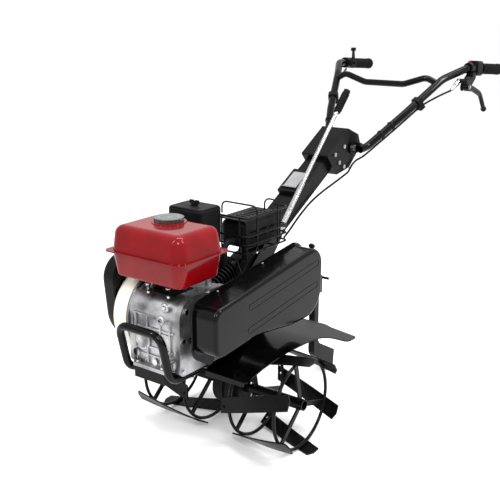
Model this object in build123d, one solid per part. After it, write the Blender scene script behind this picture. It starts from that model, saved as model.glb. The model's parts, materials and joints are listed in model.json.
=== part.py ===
from build123d import *

import os
from math import cos, degrees, radians, sin, sqrt

# A walk-behind petrol tiller. +X is the machine's left, +Y its rear and +Z is up.
# The model is laid out from the ground under the tine axle, and save() moves it by
# ORIGIN_Y so that the origin is the middle of the footprint. All sizes are millimetres.

# ---- Clearances ----
GAP = 0.3  # between pieces that move past each other, or that only lie side by side
RUN = 0.05  # radial clearance of a shaft in its bearing

# ---- Tine wheels ----
RING_R = 122.0  # centre line of a wheel ring
RING_ROD_R = 4.5
RING_X = (78.0, 220.0)
HUB_R = 15.0
HUB_X = (46.5, 232.0)
SPOKES = 3
SPOKE_WIDTH = 13.0
SPOKE_THICK = 5.0
BLADES = 6
BLADE_WIDTH = 44.0
BLADE_THICK = 4.0
BLADE_X = (58.0, 262.0)
BLADE_TWIST = 28.0  # degrees round the axle from a blade's inner end to its outer end
BLADE_PHASE = 60.0  # degrees, inner end of the first blade, measured from +Y towards +Z
BLADE_LIFT = 0.25  # between a blade and the rings that it is welded to
BLADE_SKEW = 22.0  # the outer end is cut this much longer on one edge
AXLE_R = 12.0
AXLE_END = 120.0
BLADE_REACH = sqrt((RING_R + RING_ROD_R + BLADE_LIFT + BLADE_THICK) ** 2 + (BLADE_WIDTH / 2) ** 2)
AXLE_Z = BLADE_REACH

# ---- Engine ----
BASE_Z = 290.0  # seat of the engine
CRANK_Y = -220.0
CRANK_Z = BASE_Z + 106.0
CRANK_R = 12.0
CASE_X = (-75.0, 76.0)
CASE_Y = (-318.0, -128.0)
CASE_HEIGHT = 186.0
CASE_WALL = 4.0
CASE_FOOT = 15.0  # the feet stand out this much, front and rear
COVER_PLATE = 15.0  # thickness of the case's side cover
CYLINDER_TILT = 25.0  # degrees above the horizontal, leaning to the rear
FIN_COUNT = 8
FIN_PITCH = 11.0
FIN_THICK = 3.0
FIN_HALF = 54.0
CYLINDER_START = 92.0  # from the crank axis
FAN_R = 106.0
FAN_X = (-126.0, -79.0)
RECOIL_X = (-168.0, FAN_X[0] - GAP)
SHEET = 2.0  # thickness of pressed covers
AIR_INLET_R = 70.0
FAN_EDGE = 9.0  # outer rounding of the fan housing
RECOIL_EDGE = 14.0
ROPE_X = -150.0
ROPE_Z = 346.0
ROPE_START = -279.0
ROPE_OUT = -151.0  # where the starter's rope leaves the cover

# ---- Tank and air cleaner ----
TANK_X = 123.0  # half width over the rim
TANK_Y = (-350.0, -165.0)
TANK_SEAM_Z = 574.0
TANK_UP = 62.0
TANK_DOWN = 64.0
TANK_TAPER = (8.0, 9.0)  # degrees, upper and lower shell
CAP_SEAT = 2.0  # height of the raised seat round the filler neck
TANK_WALL = 1.5
TANK_RIM = 9.0
CAP_XY = (-15.0, -231.0)
CAP_R = 36.5
CAP_HEIGHT = 10.0
NECK_R = 25.0
CLEANER_X = (-98.0, 16.0)
CLEANER_Y = (-150.0, -62.0)
CLEANER_Z = (556.0, 650.0)

# ---- Exhaust ----
MUFFLER_X = (-18.0, 64.0)
MUFFLER_Y = (-32.0, 108.0)
MUFFLER_Z = (533.0, 603.0)
SHIELD_GAP = 4.0
PIPE_X = 44.0
PIPE_R = 8.0  # passes between two levels of the wire guard
GUARD_ROD_R = 2.5
GUARD_X = (-34.0, 82.0)
GUARD_REAR_GAP = 8.0  # the cage's rear wires stop this far from the mast's side
GUARD_Y = (-50.0, 132.0)
GUARD_Z = (527.0, 549.0, 571.0, 620.0)

# ---- Belt drive ----
BACKPLATE_X = 122.0
BELT_COVER_X = 190.0
BELT_X = (150.0, 162.0)
BELT_THICK = 8.0
CRANK_PULLEY_R = 27.0
DRIVEN_PULLEY_R = 68.0
GROOVE = 9.0  # depth of a pulley's groove
DRIVEN_Y = 55.0
DRIVEN_Z = 440.0
IDLER_ARM = (-32.0, 424.0)
IDLER_LENGTH = 62.0
IDLER_R = 15.0
IDLER_SLACK = 8.0  # gap between the idler and the belt with the clutch released

# ---- Gearbox and frame ----
GEARBOX_HALF = 30.0
GEARBOX_BOSS = 44.0
GEARBOX_LOW_R = 58.0
GEARBOX_HIGH_R = 55.0
GEARBOX_WALL = 6.0
LAY_Y = 40.0
LAY_Z = 338.0
SHAFT_R = 10.0
PLATE = 6.0  # engine base plate
RAIL = 8.0
RAIL_Z = (250.0, BASE_Z - PLATE)
STAY_Z = 2 * BLADE_REACH + 3.0  # foot of the mud guards' stays, above the turning blades
STAY_THICK = 4.0
BUMPER_R = 10.0
BUMPER_X = 68.0
BUMPER_TOP = (-362.0, 402.0)
BUMPER_BEND_Y = -332.0  # where the legs turn to run under the base plate
BUMPER_END_Y = -240.0
BASE_NOSE = 54.0  # half width of the base plate between the bumper's legs
BASE_NOSE_Y = -290.0
GUARD_PLATE = 3.0
HITCH_Z = 300.0
HITCH_THICK = 12.0
STAKE_Y = 403.0
STAKE_SIDE = 22.0
SOCKET_WALL = 6.0

# ---- Mast, console and handlebar ----
MAST_START = (100.0, 504.0)
MAST_TILT = 30.0
MAST_LENGTH = 450.0
MAST_WIDE = 2 * GEARBOX_HALF  # its foot plates lie against the gearbox
MAST_DEEP = 50.0
MAST_WALL = 3.0
CONSOLE_HALF = 45.0
CONSOLE_WALL = 3.0
CONSOLE_BOLTS = ((449.0, 688.0), (475.0, 732.0))  # through the mast's sides
PIVOT = (522.0, 722.0)
PIVOT_R = 6.0
TUBE_R = 12.0
TUBE_BORE = 10.0
GRIP_LENGTH = 138.0
GRIP_R = 16.0
SHIFT_X = GEARBOX_HALF + 15.0  # beside the mast's foot plate
SHIFT_PIVOT = (160.0, 556.0)
SHIFT_TILT = 46.0
SHIFT_LENGTH = 470.0

CABLE_R = 3.0

ORIGIN_Y = 388.0  # the middle of the footprint, front to back


# ---- Helpers ----
def save(name, *pieces):
    """Write one sub-part, moved so that the origin is the middle of the footprint."""
    solids = [solid for piece in pieces for solid in piece.solids()]
    export_step(Compound(solids).moved(Location((0, -ORIGIN_Y, 0))), f"parts/{name}.step")


def slab(sketch, x0, x1):
    """Extrude a (Y, Z) outline along X, from x0 to x1."""
    return extrude(Plane.YZ.offset(x0) * sketch, amount=x1 - x0)


def disc(y, z, r, x0, x1):
    """A disc, or a round boss, whose axis is X."""
    return slab(Pos(y, z) * Circle(r), x0, x1)


def block(x, y, z):
    """A box between the two values given for each axis."""
    size = [b - a for a, b in (x, y, z)]
    return Pos(*[(a + b) / 2 for a, b in (x, y, z)]) * Box(*size)


def rod(start, end, r):
    """A round rod between two points."""
    line = Vector(*end) - Vector(*start)
    return extrude(Plane(origin=start, z_dir=line) * Circle(r), amount=line.length)


def tube(points, bends, r, bore=0.0):
    """A round tube along straight runs joined by bends of the radii given."""
    path = FilletPolyline(*points, radius=bends)
    section = Circle(r) - Circle(bore) if bore else Circle(r)
    return sweep(Plane(origin=path @ 0, z_dir=path % 0) * section, path=path)


def outline(*corners):
    """A closed (Y, Z) outline from corners given as (y, z, radius)."""
    line = FilletPolyline(*[c[:2] for c in corners], radius=[c[2] for c in corners], close=True)
    return make_face(line)


def hull(*circles):
    """The convex outline round circles given as (y, z, r)."""
    edges = [(Pos(y, z) * Circle(r)).edges() for y, z, r in circles]
    return make_hull([edge for group in edges for edge in group])


def polar(y, z, r, angle):
    """The point at a distance and an angle, in degrees from +Y towards +Z."""
    return (y + r * cos(radians(angle)), z + r * sin(radians(angle)))


def mirrored(shape):
    """The same piece on the machine's other side."""
    return mirror(shape, about=Plane.YZ)


def bolt(point, direction, r, head_r, head, length):
    """A hexagon-headed bolt whose head stands on point and whose shank goes the other way."""
    seat = Plane(origin=point, z_dir=direction)
    top = extrude(seat * RegularPolygon(head_r, 6), amount=head)
    return top + extrude(seat * Circle(r), amount=-length) if length else top


fasteners = []  # bolts, studs and plugs of the frame and engine, saved together


# ---- Tine wheels ----
def wheel_frame():
    """Hub tube, two rod rings and their flat spokes, for the left side."""
    frame = disc(0, AXLE_Z, HUB_R, *HUB_X)
    for x in RING_X:
        frame += Plane(origin=(x, 0, AXLE_Z), z_dir=(1, 0, 0)) * Torus(RING_R, RING_ROD_R)
        for n in range(SPOKES):
            spoke = Pos(0, 0, (HUB_R + RING_R) / 2 - 1) * Box(
                SPOKE_THICK, SPOKE_WIDTH, RING_R - HUB_R + 2
            )
            frame += Pos(x, 0, AXLE_Z) * Rot(X=12 + 360 / SPOKES * n) * spoke
    frame -= disc(0, AXLE_Z, AXLE_R + GAP, HUB_X[0], HUB_X[1])
    pin_x = HUB_X[0] + 14
    return frame - rod((pin_x, 0, AXLE_Z - 2 * HUB_R), (pin_x, 0, AXLE_Z + 2 * HUB_R), 3 + GAP)


def wheel_blade(angle):
    """One twisted flat blade, lying on the outside of both rings of the left wheel."""
    sections = []
    steps = 8
    for n in range(steps + 1):
        share = n / steps
        x = BLADE_X[0] + share * (BLADE_X[1] - BLADE_X[0])
        turn = angle - share * BLADE_TWIST
        radial = RING_R + RING_ROD_R + BLADE_LIFT + BLADE_THICK / 2
        y, z = polar(0, AXLE_Z, radial, turn)
        face = Rectangle(BLADE_THICK, BLADE_WIDTH)
        sections.append(Plane.YZ.offset(x) * Pos(y, z) * Rot(Z=turn) * face)
    blade = loft(sections, ruled=True)
    end_angle = angle - BLADE_TWIST
    y, z = polar(0, AXLE_Z, RING_R, end_angle)
    cut = Box(2 * BLADE_SKEW, 60, 2 * BLADE_WIDTH)
    skew = degrees(BLADE_SKEW / BLADE_WIDTH)
    at_end = Plane(origin=(BLADE_X[1], y, z), x_dir=(1, 0, 0), z_dir=polar3(end_angle + 90))
    blade -= at_end * Rot(Y=skew) * Pos(1.05 * BLADE_SKEW, 0, 0) * cut
    y, z = polar(0, AXLE_Z, RING_R, angle)
    hole_x = BLADE_X[0] + 10
    hole = rod((hole_x, y, z), (hole_x, *polar(0, AXLE_Z, RING_R + 20, angle)), 4)
    return blade - hole


def polar3(angle):
    """The unit direction across X at an angle from +Y towards +Z."""
    return (0, cos(radians(angle)), sin(radians(angle)))


def hitch_pin():
    """Cross pin that holds the left wheel on the axle."""
    x = HUB_X[0] + 14
    shank = rod((x, 0, AXLE_Z - HUB_R - 6), (x, 0, AXLE_Z + HUB_R + GAP), 3)
    return shank + rod((x, 0, AXLE_Z + HUB_R + GAP), (x, 0, AXLE_Z + HUB_R + 6), 6)


def make_wheels():
    frame = wheel_frame()
    blades = [wheel_blade(BLADE_PHASE + 360 / BLADES * n) for n in range(BLADES)]
    save("left_wheel_frame", frame)
    save("right_wheel_frame", mirrored(frame))
    save("tine_blades", *blades, *[mirrored(blade) for blade in blades])
    pin_x = HUB_X[0] + 14
    shaft = disc(0, AXLE_Z, AXLE_R, -AXLE_END, AXLE_END)
    for x in (-pin_x, pin_x):
        shaft -= rod((x, 0, AXLE_Z - 20), (x, 0, AXLE_Z + 20), 3 + GAP)
    shaft += disc(0, AXLE_Z, 47, 8, 14)
    save("axle_shaft", shaft, hitch_pin(), mirrored(hitch_pin()))


# ---- Gearbox ----
def gearbox_half():
    """Left half of the cast gearbox: a tall chain case with the axle boss at its foot."""
    low = (0, AXLE_Z, GEARBOX_LOW_R)
    high = (DRIVEN_Y, DRIVEN_Z, GEARBOX_HIGH_R)
    inner = hull((*low[:2], low[2] - GEARBOX_WALL), (*high[:2], high[2] - GEARBOX_WALL))
    half = slab(hull(low, high), 0.1, GEARBOX_HALF)
    half += slab(hull((*low[:2], low[2] + 5), (*high[:2], high[2] + 5)), 0.1, 7)
    half += disc(0, AXLE_Z, 38, 0.1, GEARBOX_BOSS)
    for y in (-34, -17, 17, 34):
        rib_top = AXLE_Z + sqrt(GEARBOX_LOW_R**2 - y**2)
        half += block((0.1, GEARBOX_BOSS - 6), (y - 2.5, y + 2.5), (AXLE_Z - 30, rib_top))
    half -= slab(inner, 0, GEARBOX_HALF - GEARBOX_WALL)
    half -= disc(0, AXLE_Z, AXLE_R + RUN, 0, GEARBOX_BOSS + 1)
    half -= disc(LAY_Y, LAY_Z, SHAFT_R + RUN, 0, GEARBOX_HALF - 2)
    return half - disc(DRIVEN_Y, DRIVEN_Z, SHAFT_R + RUN, 0, GEARBOX_HALF + 1)


def make_gearbox():
    half = gearbox_half()
    save("gearbox_left", half)
    save("gearbox_right", mirrored(half))
    reach = GEARBOX_HALF - 2 - GAP
    lay = disc(LAY_Y, LAY_Z, SHAFT_R, -reach, reach)
    lay += disc(LAY_Y, LAY_Z, 13.4, 8, 14) + disc(LAY_Y, LAY_Z, 42, -6, 4)
    save("layshaft", lay)
    chain = hull((0, AXLE_Z, 47 + GAP + 4), (LAY_Y, LAY_Z, 13.4 + GAP + 4))
    chain -= hull((0, AXLE_Z, 47 + GAP), (LAY_Y, LAY_Z, 13.4 + GAP))
    save("drive_chain", slab(chain, 8, 14))
    belt_mid = (BELT_X[0] + BELT_X[1]) / 2
    pinion = disc(DRIVEN_Y, DRIVEN_Z, 20, -20, -10)
    shaft = disc(DRIVEN_Y, DRIVEN_Z, SHAFT_R, -GEARBOX_HALF, belt_mid + 16)
    save("input_shaft", shaft + pinion)
    save("driven_pulley", pulley(DRIVEN_Y, DRIVEN_Z, DRIVEN_PULLEY_R, SHAFT_R + 0.02))


# ---- Belt drive ----
def pulley(y, z, r, bore):
    """A single-groove pulley for the belt."""
    side = 0.6
    wheel = disc(y, z, r - GROOVE, BELT_X[0] - 5, BELT_X[1] + 5)
    wheel += disc(y, z, r, BELT_X[0] - 5, BELT_X[0] - side)
    wheel += disc(y, z, r, BELT_X[1] + side, BELT_X[1] + 5)
    if r > 50:
        for n in range(6):
            wheel -= disc(*polar(y, z, r * 0.55, 60 * n), r * 0.16, BELT_X[0] - 6, BELT_X[1] + 6)
    return wheel - disc(y, z, bore, BELT_X[0] - 6, BELT_X[1] + 6)


def belt_outline(extra):
    """Outline round both pulleys at a distance from the floors of their grooves."""
    return hull(
        (CRANK_Y, CRANK_Z, CRANK_PULLEY_R - GROOVE + extra),
        (DRIVEN_Y, DRIVEN_Z, DRIVEN_PULLEY_R - GROOVE + extra),
    )


def idler_centre():
    """The idler's place, just under the belt's upper run with the clutch released."""
    front = CRANK_PULLEY_R - GROOVE
    rear = DRIVEN_PULLEY_R - GROOVE
    run = sqrt((DRIVEN_Y - CRANK_Y) ** 2 + (DRIVEN_Z - CRANK_Z) ** 2)
    y = IDLER_ARM[0] - IDLER_LENGTH + 1
    share = (y - CRANK_Y) / (DRIVEN_Y - CRANK_Y)
    middle = CRANK_Z + share * (DRIVEN_Z - CRANK_Z)
    slope = cos(radians(degrees((rear - front) / run) + degrees((DRIVEN_Z - CRANK_Z) / run)))
    inner_z = middle + (front + share * (rear - front) + GAP) / slope
    return (y, inner_z - IDLER_R / slope - IDLER_SLACK)


def cover_outline(grow):
    """Belt cover's outline: straight top rising to the rear, waisted underside."""
    return outline(
        (-308 - grow, 471 + grow, 30 + grow),
        (141 + grow, 533 + grow, 46 + grow),
        (141 + grow, 343 - grow, 75 + grow),
        (0, 345 - grow, 200),
        (-150, 364 - grow, 200),
        (-308 - grow, 348 - grow, 30 + grow),
    )


def cover_ribs():
    """Two long shallow grooves pressed into the cover's outer face, as (start, end)."""
    return [((-176, 447), (112, 486)), ((-180, 389), (108, 428))]


def make_belt_drive():
    front = BACKPLATE_X + SHEET
    body = slab(cover_outline(0), front, BELT_COVER_X)
    body = fillet(body.faces().sort_by(Axis.X)[-1].edges(), 9)
    hollow = slab(cover_outline(-SHEET), front, BELT_COVER_X - SHEET)
    hollow = fillet(hollow.faces().sort_by(Axis.X)[-1].edges(), 7)
    cover = body + slab(cover_outline(8), front, front + SHEET) - hollow
    for start, end in cover_ribs():
        groove = hull((*start, 9), (*end, 9)) - hull((*start, 6.5), (*end, 6.5))
        cover -= slab(groove, BELT_COVER_X - 0.9, BELT_COVER_X + 1)
    save("belt_cover", cover)

    plate = slab(cover_outline(8), BACKPLATE_X, front)
    plate += slab(hull((-276, 368, 40), (-250, 324, 16)), BACKPLATE_X, front)
    plate -= disc(CRANK_Y, CRANK_Z, 24, BACKPLATE_X - 1, front + 1)
    plate -= disc(DRIVEN_Y, DRIVEN_Z, 22, BACKPLATE_X - 1, front + 1)
    for y, z in ((-150, 440), (-284, 372)):
        plate += disc(y, z, 8, CASE_X[1] + COVER_PLATE, BACKPLATE_X)
    for y, z in ((DRIVEN_Y + 36, DRIVEN_Z - 22), (DRIVEN_Y - 34, DRIVEN_Z - 24)):
        plate += disc(y, z, 7, GEARBOX_HALF, BACKPLATE_X)
    plate += disc(*IDLER_ARM, 5, front - 1, 141)
    save("belt_backplate", plate)

    belt = slab(belt_outline(GAP + BELT_THICK) - belt_outline(GAP), *BELT_X)
    save("v_belt", belt)

    y, z = idler_centre()
    arm = slab(hull((*IDLER_ARM, 11), (y, z, 10)), 134, 139)
    arm += disc(*IDLER_ARM, 9, 126, 139) + disc(y, z, 5, 139, BELT_X[1] + 3)
    save("idler_arm", arm - disc(*IDLER_ARM, 5 + RUN, 120, 140))
    roller = disc(y, z, IDLER_R, BELT_X[0] - 2, BELT_X[1] + 2)
    save("idler_roller", roller - disc(y, z, 5 + RUN, 140, BELT_X[1] + 4))


# ---- Engine ----
def case_outline(inset):
    top = BASE_Z + CASE_HEIGHT
    return outline(
        (CASE_Y[0] + inset, BASE_Z + max(inset, 0), 12),
        (CASE_Y[0] + inset, top - inset, 52),
        (CASE_Y[1] - inset, top - inset, 26),
        (CASE_Y[1] - inset, BASE_Z + max(inset, 0), 12),
    )


def along_cylinder(distance, across=0.0):
    """A (Y, Z) point at a distance along the cylinder's axis and across it."""
    tilt = radians(CYLINDER_TILT)
    return (
        CRANK_Y + distance * cos(tilt) - across * sin(tilt),
        CRANK_Z + distance * sin(tilt) + across * cos(tilt),
    )


def cylinder_plane(distance):
    tilt = radians(CYLINDER_TILT)
    origin = (0, *along_cylinder(distance))
    return Plane(origin=origin, x_dir=(1, 0, 0), z_dir=(0, cos(tilt), sin(tilt)))


def tank_floor():
    return TANK_SEAM_Z - GAP / 3 - TANK_DOWN


def make_crankcase():
    case = slab(case_outline(0), *CASE_X)
    feet = (CASE_Y[0] - CASE_FOOT, CASE_Y[1] + CASE_FOOT)
    case += block((-BASE_NOSE + 2, BASE_NOSE - 2), feet, (BASE_Z, BASE_Z + 9))
    for z in (BASE_Z + 52, BASE_Z + 92, BASE_Z + 132):
        case += block((CASE_X[0] + 18, CASE_X[1] - 10), (CASE_Y[0] - 3, CASE_Y[0] + 4), (z, z + 5))
    case -= slab(case_outline(CASE_WALL + 2), CASE_X[0] + CASE_WALL, CASE_X[1])
    case += disc(CRANK_Y, CRANK_Z, 26, CASE_X[0] - 3, CASE_X[0] + CASE_WALL)
    case -= disc(CRANK_Y, CRANK_Z, CRANK_R + RUN, CASE_X[0] - 4, CASE_X[0] + CASE_WALL + 1)
    bore = extrude(cylinder_plane(40) * Circle(36), amount=CYLINDER_START - 40)
    seat = extrude(cylinder_plane(CYLINDER_START) * Rectangle(200, 140), amount=60)
    case -= bore + seat
    for x in (-52, 52):
        for y in (CASE_Y[0] + 60, CASE_Y[1] - 40):
            case += rod((x, y, BASE_Z + CASE_HEIGHT - 3), (x, y, tank_floor()), 8)
    save("crankcase", case)

    x0 = CASE_X[1] + 0.8
    x1 = CASE_X[1] + COVER_PLATE
    cover = slab(case_outline(-3), x0, x1) + disc(CRANK_Y, CRANK_Z, 30, x1, x1 + 8)
    cover -= slab(case_outline(CASE_WALL + 4), x0, x1 - 5)
    cover += disc(CRANK_Y, CRANK_Z, 24, x0, x1)
    cover -= seat
    cover -= disc(CRANK_Y, CRANK_Z, CRANK_R + RUN, x0, x1 + 9)
    gasket = slab(case_outline(-1.5), CASE_X[1], x0) - slab(case_outline(6), CASE_X[1], x0)
    save("case_cover", cover, gasket - seat)

    low_y, high_y = CASE_Y[0] + 6, CASE_Y[1] - 10
    low_z, high_z = BASE_Z + 12, BASE_Z + CASE_HEIGHT - 10
    places = [(low_y, low_z), (low_y, 380), (low_y + 12, high_z - 16), (-210, high_z + 4)]
    for y, z in [*places, (high_y, low_z), (-220, low_z - 3)]:
        fasteners.append(bolt((x1, y, z), (1, 0, 0), 4, 7, 6, 0))

    plug_z = BASE_Z + 34
    plug = rod((52, CASE_Y[0], plug_z), (52, CASE_Y[0] - 12, plug_z), 13)
    drain = rod((14, CASE_Y[0], BASE_Z + 22), (14, CASE_Y[0] - 9, BASE_Z + 22), 8)
    filler = rod((-46, CASE_Y[0], plug_z), (-46, CASE_Y[0] - 9, plug_z), 10)
    fasteners.extend([plug, drain, filler])


def make_cylinder():
    start = CYLINDER_START
    length = FIN_COUNT * FIN_PITCH
    barrel = extrude(cylinder_plane(start) * Circle(38), amount=length + 4)
    for n in range(FIN_COUNT):
        fin = cylinder_plane(start + 4 + n * FIN_PITCH) * RectangleRounded(
            2 * FIN_HALF + 22, 2 * FIN_HALF - 14, 22
        )
        barrel += extrude(fin, amount=FIN_THICK)
    barrel -= extrude(cylinder_plane(start - 1) * Circle(33), amount=length)
    save("cylinder", barrel)
    end = start + length + 4
    rocker = extrude(cylinder_plane(end) * RectangleRounded(104, 74, 18), amount=20)
    rocker = fillet(rocker.faces().sort_by(Axis.Y)[-1].edges(), 5)
    save("rocker_cover", rocker)
    seat = (-FIN_HALF - 11, *along_cylinder(start + 62, 4))
    plug = rod(seat, (seat[0] - 24, seat[1], seat[2]), 8)
    save("spark_plug", plug + rod((seat[0] - 24, *seat[1:]), (seat[0] - 44, *seat[1:]), 11))


def make_crank():
    belt_mid = (BELT_X[0] + BELT_X[1]) / 2
    shaft = disc(CRANK_Y, CRANK_Z, CRANK_R, FAN_X[0] + 4, belt_mid + 14)
    throw = 26
    for x in (-26, 16):
        shaft += slab(hull((CRANK_Y, CRANK_Z, 24), (CRANK_Y, CRANK_Z - throw, 18)), x, x + 10)
    shaft -= disc(CRANK_Y, CRANK_Z, CRANK_R + 1, -16, 16)
    shaft += disc(CRANK_Y, CRANK_Z - throw, 9, -26, 26)
    save("crankshaft", shaft)
    wheel = disc(CRANK_Y, CRANK_Z, 80, FAN_X[0] + 28, FAN_X[0] + 36)
    wheel += disc(CRANK_Y, CRANK_Z, 26, FAN_X[0] + 14, FAN_X[0] + 36)
    blades = 14
    for n in range(blades):
        vane = Pos(0, 0, 58) * Box(16, 3, 36)
        wheel += Pos(FAN_X[0] + 20.5, CRANK_Y, CRANK_Z) * Rot(X=360 / blades * n) * vane
    save("flywheel_fan", wheel - disc(CRANK_Y, CRANK_Z, CRANK_R + 0.02, FAN_X[0], FAN_X[1]))
    save("crank_pulley", pulley(CRANK_Y, CRANK_Z, CRANK_PULLEY_R, CRANK_R + 0.02))


def fan_outline(inset):
    upper = along_cylinder(104, 4)
    return hull((CRANK_Y, CRANK_Z, FAN_R - inset), (*upper, 36 - inset))


def recoil_outline(inset):
    """Outline of the starter's cover: round below and broad above."""
    return hull(
        (CRANK_Y, CRANK_Z + 8, 90 - inset),
        (CRANK_Y - 38, CRANK_Z + 88, 60 - inset),
        (CRANK_Y + 40, CRANK_Z + 80, 60 - inset),
    )


def make_fan_housing():
    shell = slab(fan_outline(0), *FAN_X)
    shell = fillet(shell.faces().sort_by(Axis.X)[0].edges(), FAN_EDGE)
    hollow = slab(fan_outline(SHEET), FAN_X[0] + SHEET, FAN_X[1])
    shell -= fillet(hollow.faces().sort_by(Axis.X)[0].edges(), FAN_EDGE - SHEET)
    shell -= disc(CRANK_Y, CRANK_Z, AIR_INLET_R, FAN_X[0] - 1, FAN_X[0] + 4)
    save("fan_housing", shell)

    x0, x1 = RECOIL_X
    cover = slab(recoil_outline(0), x0, x1)
    cover = fillet(cover.faces().sort_by(Axis.X)[0].edges(), RECOIL_EDGE)
    hollow = slab(recoil_outline(SHEET), x0 + SHEET, x1 - SHEET)
    cover -= fillet(hollow.faces().sort_by(Axis.X)[0].edges(), RECOIL_EDGE - SHEET)
    cover -= disc(CRANK_Y, CRANK_Z, AIR_INLET_R, x1 - SHEET - 1, x1 + 1)
    for row in range(5):
        z = CRANK_Z + 58 + row * 13
        for n in range(-4, 5):
            y = CRANK_Y + n * 17
            cover -= block((x0 - 1, x0 + 5), (y - 5, y + 5), (z, z + 7))
    cover -= rod((ROPE_X, ROPE_OUT - 20, ROPE_Z), (ROPE_X, ROPE_OUT + 20, ROPE_Z), 4.5)
    hub = disc(CRANK_Y, CRANK_Z, 10, x0 + SHEET, x1)
    save("recoil_cover", cover + hub)


def starter_grip():
    """Recoil starter's grip and the part of its rope that leaves the cover, to the rear."""
    rope = rod((ROPE_X, ROPE_START, ROPE_Z), (ROPE_X, ROPE_OUT + 12, ROPE_Z), 2.5)
    grip = Pos(ROPE_X, ROPE_OUT + 18, ROPE_Z) * Box(34, 18, 15)
    return fillet(grip.edges(), 5) + rope


# ---- Tank ----
def tank_outline(inset, r):
    return RectangleRounded(2 * (TANK_X - inset), TANK_Y[1] - TANK_Y[0] - 2 * inset, r)


def tank_shell(z, height, taper, corner, inset, edge):
    """One drawn shell: a tapered box with rounded shoulders, open at the seam."""
    middle = (TANK_Y[0] + TANK_Y[1]) / 2
    plane = Plane(origin=(0, middle, z))
    solid = extrude(plane * tank_outline(inset, corner), amount=height, taper=taper)
    far = solid.faces().sort_by(Axis.Z)[-1 if height > 0 else 0]
    return fillet(far.edges(), edge)


def make_tank():
    seam = Plane(origin=(0, (TANK_Y[0] + TANK_Y[1]) / 2, TANK_SEAM_Z))
    rim = seam * tank_outline(0, 18)
    body = TANK_RIM
    upper = tank_shell(TANK_SEAM_Z, TANK_UP, TANK_TAPER[0], 30, body, 24)
    upper += extrude(rim, amount=TANK_WALL)
    boss = Plane(origin=(*CAP_XY, TANK_SEAM_Z + TANK_UP - 8)) * Circle(46)
    upper += extrude(boss, amount=8 + CAP_SEAT, taper=18)
    upper -= tank_shell(TANK_SEAM_Z, TANK_UP - TANK_WALL, TANK_TAPER[0], 30, body + TANK_WALL, 23)
    top = TANK_SEAM_Z + TANK_UP + CAP_SEAT
    neck = Plane(origin=(*CAP_XY, top - 8))
    upper += extrude(neck * Circle(NECK_R), amount=16)
    upper -= extrude(neck * Circle(NECK_R - 3), amount=40, both=True)
    save("fuel_tank_upper", upper)

    lower = tank_shell(TANK_SEAM_Z - GAP / 3, -TANK_DOWN, TANK_TAPER[1], 30, body, 10)
    lower += extrude(Pos(0, 0, -GAP / 3) * rim, amount=-TANK_WALL)
    depth = TANK_DOWN - TANK_WALL
    lower -= tank_shell(TANK_SEAM_Z - GAP / 3, -depth, TANK_TAPER[1], 30, body + TANK_WALL, 9)
    save("fuel_tank_lower", lower)

    cap_plane = Plane(origin=(*CAP_XY, top + GAP))
    cap = extrude(cap_plane * Circle(CAP_R), amount=CAP_HEIGHT)
    lobes = 12
    for n in range(lobes):
        place = Pos(*polar(0, 0, CAP_R + 5, 360 / lobes * n))
        cap -= extrude(cap_plane * place * Circle(7.5), amount=CAP_HEIGHT - 3)
    cap = cap - extrude(cap_plane * Circle(NECK_R + GAP), amount=8 + GAP)
    save("fuel_cap", cap)


# ---- Air cleaner and carburettor ----
def make_intake():
    x, y, z = CLEANER_X, CLEANER_Y, CLEANER_Z
    split = z[0] + 26
    cover = block(x, y, (split + GAP, z[1]))
    cover = fillet(cover.edges().filter_by(Axis.Z), 16)
    cover = fillet(cover.faces().sort_by(Axis.Z)[-1].edges(), 9)
    inner = block((x[0] + 2, x[1] - 2), (y[0] + 2, y[1] - 2), (split, z[1] - 2))
    cover -= fillet(inner.edges().filter_by(Axis.Z), 14)
    stud = (sum(x) / 2, sum(y) / 2)
    cover -= rod((*stud, z[1] - 5), (*stud, z[1] + 1), 3 + GAP)
    base = fillet(block(x, y, (z[0], split)).edges().filter_by(Axis.Z), 16)
    base += rod((*stud, split), (*stud, z[1] + 10), 3)
    save("air_cleaner_base", base)
    nut = rod((*stud, z[1] + GAP), (*stud, z[1] + 7), 9)
    nut += Pos(*stud, z[1] + 9) * Box(30, 4, 9)
    save("air_cleaner_cover", cover, nut - rod((*stud, z[1]), (*stud, z[1] + 20), 3 + RUN))

    body = block((-64, -26), (y[0] + 30, y[0] + 66), (524, z[0]))
    bowl = rod((-45, y[0] + 48, 514), (-45, y[0] + 48, 524), 15)
    save("carburettor", body + bowl)
    flange_x = -64
    pivot = (y[0] + 48, 540)
    lever = slab(hull((*pivot, 6), (pivot[0], pivot[1] - 22, 4)), flange_x - 4, flange_x - 1)
    save("choke_lever", lever + disc(*pivot, 3, flange_x - 1, flange_x - GAP))


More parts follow.
